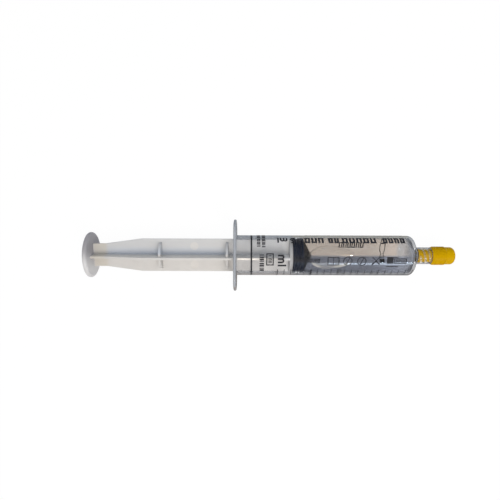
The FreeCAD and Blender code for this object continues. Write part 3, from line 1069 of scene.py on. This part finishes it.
@dataclass(frozen=True)
class Lamp:
    """Area lamp that faces a point on the syringe.

    A glint shows only in the gloss. Other lamps light the surfaces and don't show in it.
    The first size lies along X. Its lean turns it in its own plane, in degrees.
    """

    name: str
    place: Place
    size: Span
    power: float
    colour: Colour
    target: Place = (0.0, 0.0, 0.012)
    glint: bool = True
    lean: float = 0.0

    def build(self) -> None:
        """Adds the lamp and turns it to its target."""
        data = bpy.data.lights.new(self.name, "AREA")
        data.shape = "RECTANGLE"
        data.size, data.size_y = self.size
        data.energy = self.power
        data.color = self.colour
        lamp = bpy.data.objects.new(self.name, data)
        lamp.visible_glossy = self.glint
        lamp.visible_diffuse = not self.glint
        bpy.context.scene.collection.objects.link(lamp)
        back = (Vector(self.place) - Vector(self.target)).normalized()
        up = back.cross(Vector((1.0, 0.0, 0.0))).normalized()
        side = up.cross(back).normalized()
        turn = Matrix((side, up, back)).transposed().to_4x4()
        lean = Matrix.Rotation(math.radians(self.lean), 4, "Z")
        lamp.matrix_world = Matrix.Translation(self.place) @ turn @ lean


@dataclass
class Studio:
    """White floor and surroundings, soft lamps, and a camera straight above."""

    layout: Layout
    camera_up: float = 235.0
    mm_per_px: float = 0.5375
    camera_station: float = 6.85
    camera_y: float = 2.74
    roll: float = 0.2
    sensor: float = 36.0
    clip: Span = (0.01, 20.0)
    floor_half: float = 3.0
    floor_white: float = 0.975
    floor_dull: Colour = (0.84, 0.84, 0.84)
    floor_pale: Colour = (0.88, 0.88, 0.88)
    floor_grain: float = 300.0
    ambient: float = 0.54
    ambient_colour: Colour = (0.86, 0.93, 1.0)

    def build(self) -> None:
        """Builds the surroundings, lamps and camera."""
        scene = bpy.context.scene
        scene.view_settings.view_transform = "Standard"
        self.build_world(scene)
        self.build_floor()
        for lamp in self.lamps():
            lamp.build()
        self.build_camera(scene)

    def seen_plainly(self, tree: bpy.types.NodeTree) -> Socket:
        """Factor that is 1 for what the camera, gloss and clear pieces see.

        Args:
            tree: the node tree that it is added to.

        Returns:
            The factor.
        """
        path = tree.nodes.new("ShaderNodeLightPath")
        total = path.outputs["Is Camera Ray"]
        for other in ("Is Glossy Ray", "Is Transmission Ray"):
            step = tree.nodes.new("ShaderNodeMath")
            step.operation = "MAXIMUM"
            tree.links.new(total, step.inputs[0])
            tree.links.new(path.outputs[other], step.inputs[1])
            total = step.outputs[0]
        return total

    def build_world(self, scene: bpy.types.Scene) -> None:
        """White to the eye, and a softer light on the syringe.

        Args:
            scene: the scene that gets the world.
        """
        world = bpy.data.worlds.new("white_room")
        world.use_nodes = True
        scene.world = world
        tree = world.node_tree
        tree.nodes.clear()
        light = tree.nodes.new("ShaderNodeBackground")
        light.inputs["Color"].default_value = (*self.ambient_colour, 1.0)
        light.inputs["Strength"].default_value = self.ambient
        white = tree.nodes.new("ShaderNodeBackground")
        white.inputs["Color"].default_value = (*WHITE, 1.0)
        mix = tree.nodes.new("ShaderNodeMixShader")
        out = tree.nodes.new("ShaderNodeOutputWorld")
        tree.links.new(self.seen_plainly(tree), mix.inputs[0])
        tree.links.new(light.outputs[0], mix.inputs[1])
        tree.links.new(white.outputs[0], mix.inputs[2])
        tree.links.new(mix.outputs[0], out.inputs["Surface"])

    def build_floor(self) -> None:
        """Pale floor at height zero that keeps a faint shadow."""
        work = bmesh.new()
        bmesh.ops.create_grid(work, x_segments=2, y_segments=2, size=self.floor_half)
        mesh = bpy.data.meshes.new("floor")
        work.to_mesh(mesh)
        work.free()
        floor = bpy.data.objects.new("floor", mesh)
        bpy.context.scene.collection.objects.link(floor)
        graph = Graph("pale_floor")
        colour = graph.blend(graph.noise(self.floor_grain, 2.0), self.floor_dull, self.floor_pale)
        matt = graph.add("BsdfDiffuse", {"Color": colour}).outputs[0]
        white = graph.add("Emission", {"Color": WHITE}).outputs[0]
        factor = graph.math("MULTIPLY", self.seen_plainly(graph.tree), self.floor_white)
        graph.finish(graph.add("MixShader", {0: factor, 1: matt, 2: white}).outputs[0])
        graph.material.cycles.emission_sampling = "NONE"
        mesh.materials.append(graph.material)

    def lamps(self) -> List[Lamp]:
        """The lamps round the syringe, two soft ones and three glints.

        Returns:
            The lamps.
        """
        key = Lamp(
            "key", (0.10, -0.26, 0.62), (0.5, 0.3), 4.9, (1.0, 0.935, 0.865), glint=False
        )
        far_side = Lamp(
            "far_side", (0.1, 0.5, 0.45), (0.5, 0.3), 0.6, (0.68, 0.84, 1.0), glint=False
        )
        strip = Lamp(
            "strip",
            (0.183, -0.32, 0.30),
            (0.16, 0.006),
            2.3,
            (0.70, 0.84, 1.0),
            target=(0.07, 0.0, 0.012),
            lean=20.0,
        )
        warm_glint = Lamp(
            "warm_glint", (-0.02, -0.15, 0.385), (0.05, 0.006), 1.0, (1.0, 0.88, 0.7)
        )
        bubble_glint = Lamp(
            "bubble_glint", (0.092, -0.001, 0.25), (0.004, 0.02), 0.05, (1.0, 0.86, 0.66)
        )
        return [key, far_side, strip, warm_glint, bubble_glint]

    def build_camera(self, scene: bpy.types.Scene) -> None:
        """Camera straight above, at the photograph's distance.

        Args:
            scene: the scene that gets the camera.
        """
        data = bpy.data.cameras.new("camera")
        data.sensor_width = self.sensor
        data.lens = data.sensor_width * self.camera_up / (self.mm_per_px * PHOTO_PX)
        data.clip_start, data.clip_end = self.clip
        camera = bpy.data.objects.new("camera", data)
        scene.collection.objects.link(camera)
        camera.location = self.layout.point(self.camera_station, self.camera_y, self.camera_up)
        camera.rotation_euler = (0.0, 0.0, math.radians(self.roll))
        scene.camera = camera


def main() -> None:
    """Builds the scene in order."""
    logging.basicConfig(level=logging.INFO, format="%(message)s")
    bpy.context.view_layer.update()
    layout = Layout.from_frame()
    Studio(layout).build()
    dresser = Dresser(layout)
    Barrel(layout, dresser).build()
    Plunger(dresser).build()
    TipCap(dresser).build()
    Fill(layout, dresser).build()
    Print(dresser).build()


if __name__ == "__main__":
    main()
